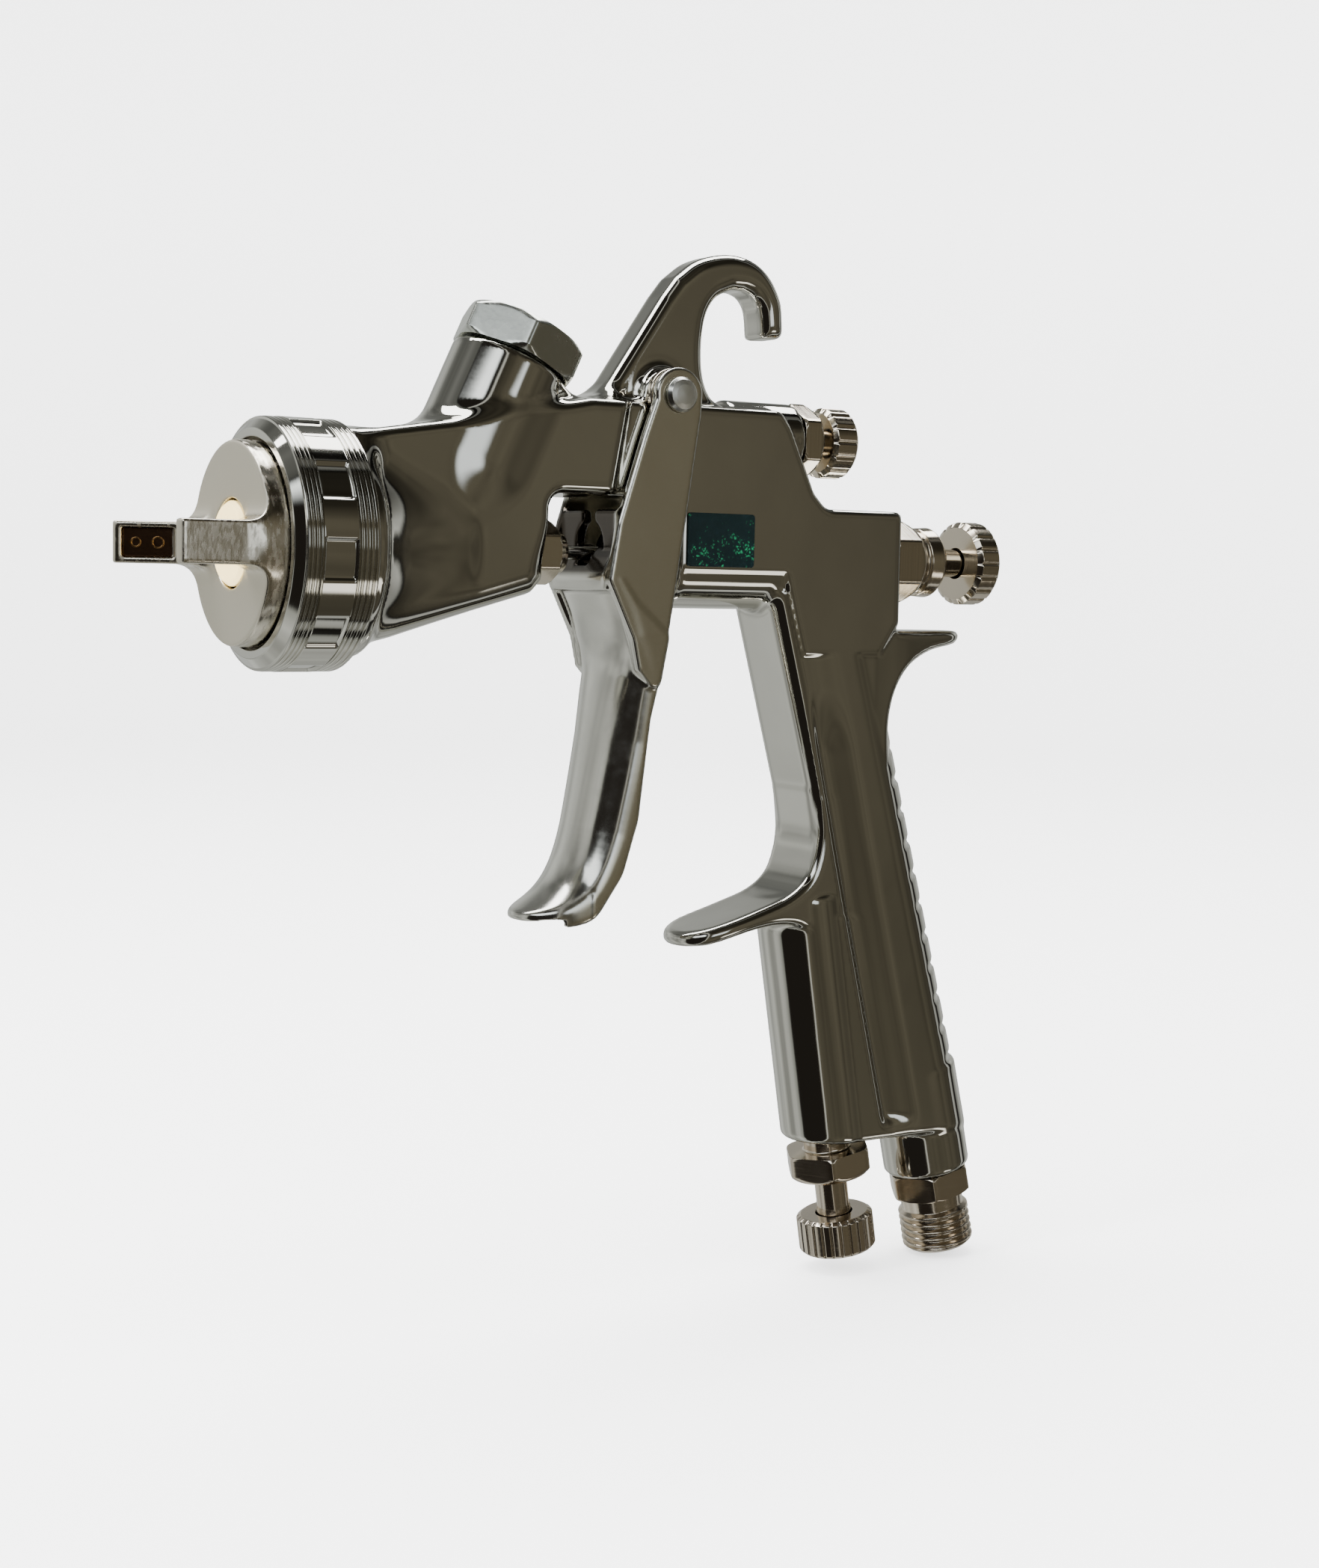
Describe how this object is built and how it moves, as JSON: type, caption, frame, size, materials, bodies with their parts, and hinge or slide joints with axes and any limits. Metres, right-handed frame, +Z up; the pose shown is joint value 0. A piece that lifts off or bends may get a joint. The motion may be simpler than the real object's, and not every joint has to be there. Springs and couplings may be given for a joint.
{
  "type": "spray gun",
  "caption": "Gravity-feed spray gun without its cup: horned air cap, hook, two-finger trigger, needle line and three adjusting knobs on a pistol grip.",
  "frame": {"origin": "centre of the flat seat inside the hanging hook, where the gun hangs", "axes": "muzzle towards -X, +Z up with the needle level, +Y to the right of someone holding the gun"},
  "size_m": [0.1612, 0.039, 0.1786],
  "materials": {
    "plated_casting": "mirror-bright nickel plating over a forged aluminium body",
    "polished_plate": "mirror-bright nickel plating over brass",
    "trigger_plate": "bright plated steel sheet",
    "nickel": "warm nickel-plated brass, turned and knurled",
    "satin_nickel": "satin grey stainless steel",
    "cap_metal": "pale matt nickel, fine blasted",
    "stainless": "ground stainless steel",
    "spring_steel": "drawn spring wire",
    "brass": "plain turned brass",
    "cream_insert": "cream moulded insert",
    "white_seal": "white fluoropolymer seal",
    "label_foil": "dark green iridescent foil"
  },
  "bodies": {
    "gun": {"gun_body": "plated_casting", "fluid_nozzle": "stainless", "air_distributor": "brass", "needle_packing": "white_seal", "packing_nut": "nickel", "valve_seat": "brass", "valve_spring": "spring_steel", "needle_spring": "spring_steel", "fluid_guide": "nickel", "pattern_guide": "nickel", "air_guide": "nickel", "air_nipple": "nickel", "fluid_inlet": "satin_nickel", "trigger_stud": "nickel", "trigger_screw": "nickel", "pivot_washer_left": "nickel", "pivot_washer_right": "nickel", "side_label": "label_foil"},
    "trigger": {"trigger": "trigger_plate"},
    "valve_stem": {"valve_stem": "stainless"},
    "needle": {"fluid_needle": "stainless", "needle_collar": "brass"},
    "fluid_screw": {"fluid_stem": "nickel"},
    "fluid_knob": {"fluid_knob": "nickel"},
    "pattern_screw": {"pattern_stem": "nickel"},
    "pattern_knob": {"pattern_knob": "nickel"},
    "air_screw": {"air_stem": "nickel"},
    "air_knob": {"air_knob": "nickel"},
    "cap_carrier": {"cap_snap_ring": "spring_steel"},
    "cap_ring": {"cap_ring": "polished_plate"},
    "air_cap": {"air_cap": "cap_metal", "cap_centre_ring": "cream_insert"}
  },
  "joints": [
    {"name": "trigger_pull", "type": "hinge", "parent": "gun", "child": "trigger", "pos_m": [-0.016, 0, -0.0188], "axis": [0, -1, 0], "range_deg": [0, 14], "stiffness_Nm_per_rad": 1.2, "springref_deg": -17.19},
    {"name": "valve_stem_slide", "type": "slide", "parent": "gun", "child": "valve_stem", "axis": [1, 0, 0], "range_m": [0, 0.0064], "deforming": ["valve_spring"]},
    {"name": "needle_slide", "type": "slide", "parent": "gun", "child": "needle", "axis": [1, 0, 0], "range_m": [0, 0.0046], "deforming": ["needle_spring"]},
    {"name": "fluid_screw_travel", "type": "slide", "parent": "gun", "child": "fluid_screw", "axis": [1, 0, 0], "range_m": [-0.0022, 0.0025]},
    {"name": "fluid_knob_turn", "type": "hinge", "parent": "fluid_screw", "child": "fluid_knob", "pos_m": [0.0508, 0, -0.0448], "axis": [1, 0, 0], "range_deg": [-796, 904]},
    {"name": "pattern_screw_travel", "type": "slide", "parent": "gun", "child": "pattern_screw", "axis": [1, 0, 0], "range_m": [-0.0018, 0.003]},
    {"name": "pattern_knob_turn", "type": "hinge", "parent": "pattern_screw", "child": "pattern_knob", "pos_m": [0.019, 0, -0.0245], "axis": [1, 0, 0], "range_deg": [-652, 1084]},
    {"name": "air_screw_travel", "type": "slide", "parent": "gun", "child": "air_screw", "axis": [0.1633, 0, -0.9866], "range_m": [-0.0045, 0.002]},
    {"name": "air_knob_turn", "type": "hinge", "parent": "air_screw", "child": "air_knob", "pos_m": [0.0273, 0, -0.1625], "axis": [0.1633, 0, -0.9866], "range_deg": [-1624, 724]},
    {"name": "cap_ring_travel", "type": "slide", "parent": "gun", "child": "cap_carrier", "axis": [-1, 0, 0], "range_m": [0, 0.003]},
    {"name": "cap_ring_turn", "type": "hinge", "parent": "cap_carrier", "child": "cap_ring", "pos_m": [-0.0865, 0, -0.0448], "axis": [-1, 0, 0], "range_deg": [-2, 724]},
    {"name": "air_cap_turn", "type": "hinge", "parent": "cap_carrier", "child": "air_cap", "pos_m": [-0.0895, 0, -0.0448], "axis": [-1, 0, 0], "range_deg": [-90, 90]}
  ],
  "couplings": [
    {"joint": "valve_stem_slide", "follows": "trigger_pull", "m_per_rad": 0.026},
    {"joint": "needle_slide", "follows": "trigger_pull", "m_per_rad": 0.0184},
    {"joint": "fluid_knob_turn", "follows": "fluid_screw_travel", "rad_per_m": 6283.2},
    {"joint": "pattern_knob_turn", "follows": "pattern_screw_travel", "rad_per_m": 6283.2},
    {"joint": "air_knob_turn", "follows": "air_screw_travel", "rad_per_m": 6283.2},
    {"joint": "cap_ring_turn", "follows": "cap_ring_travel", "rad_per_m": 4188.8}
  ]
}
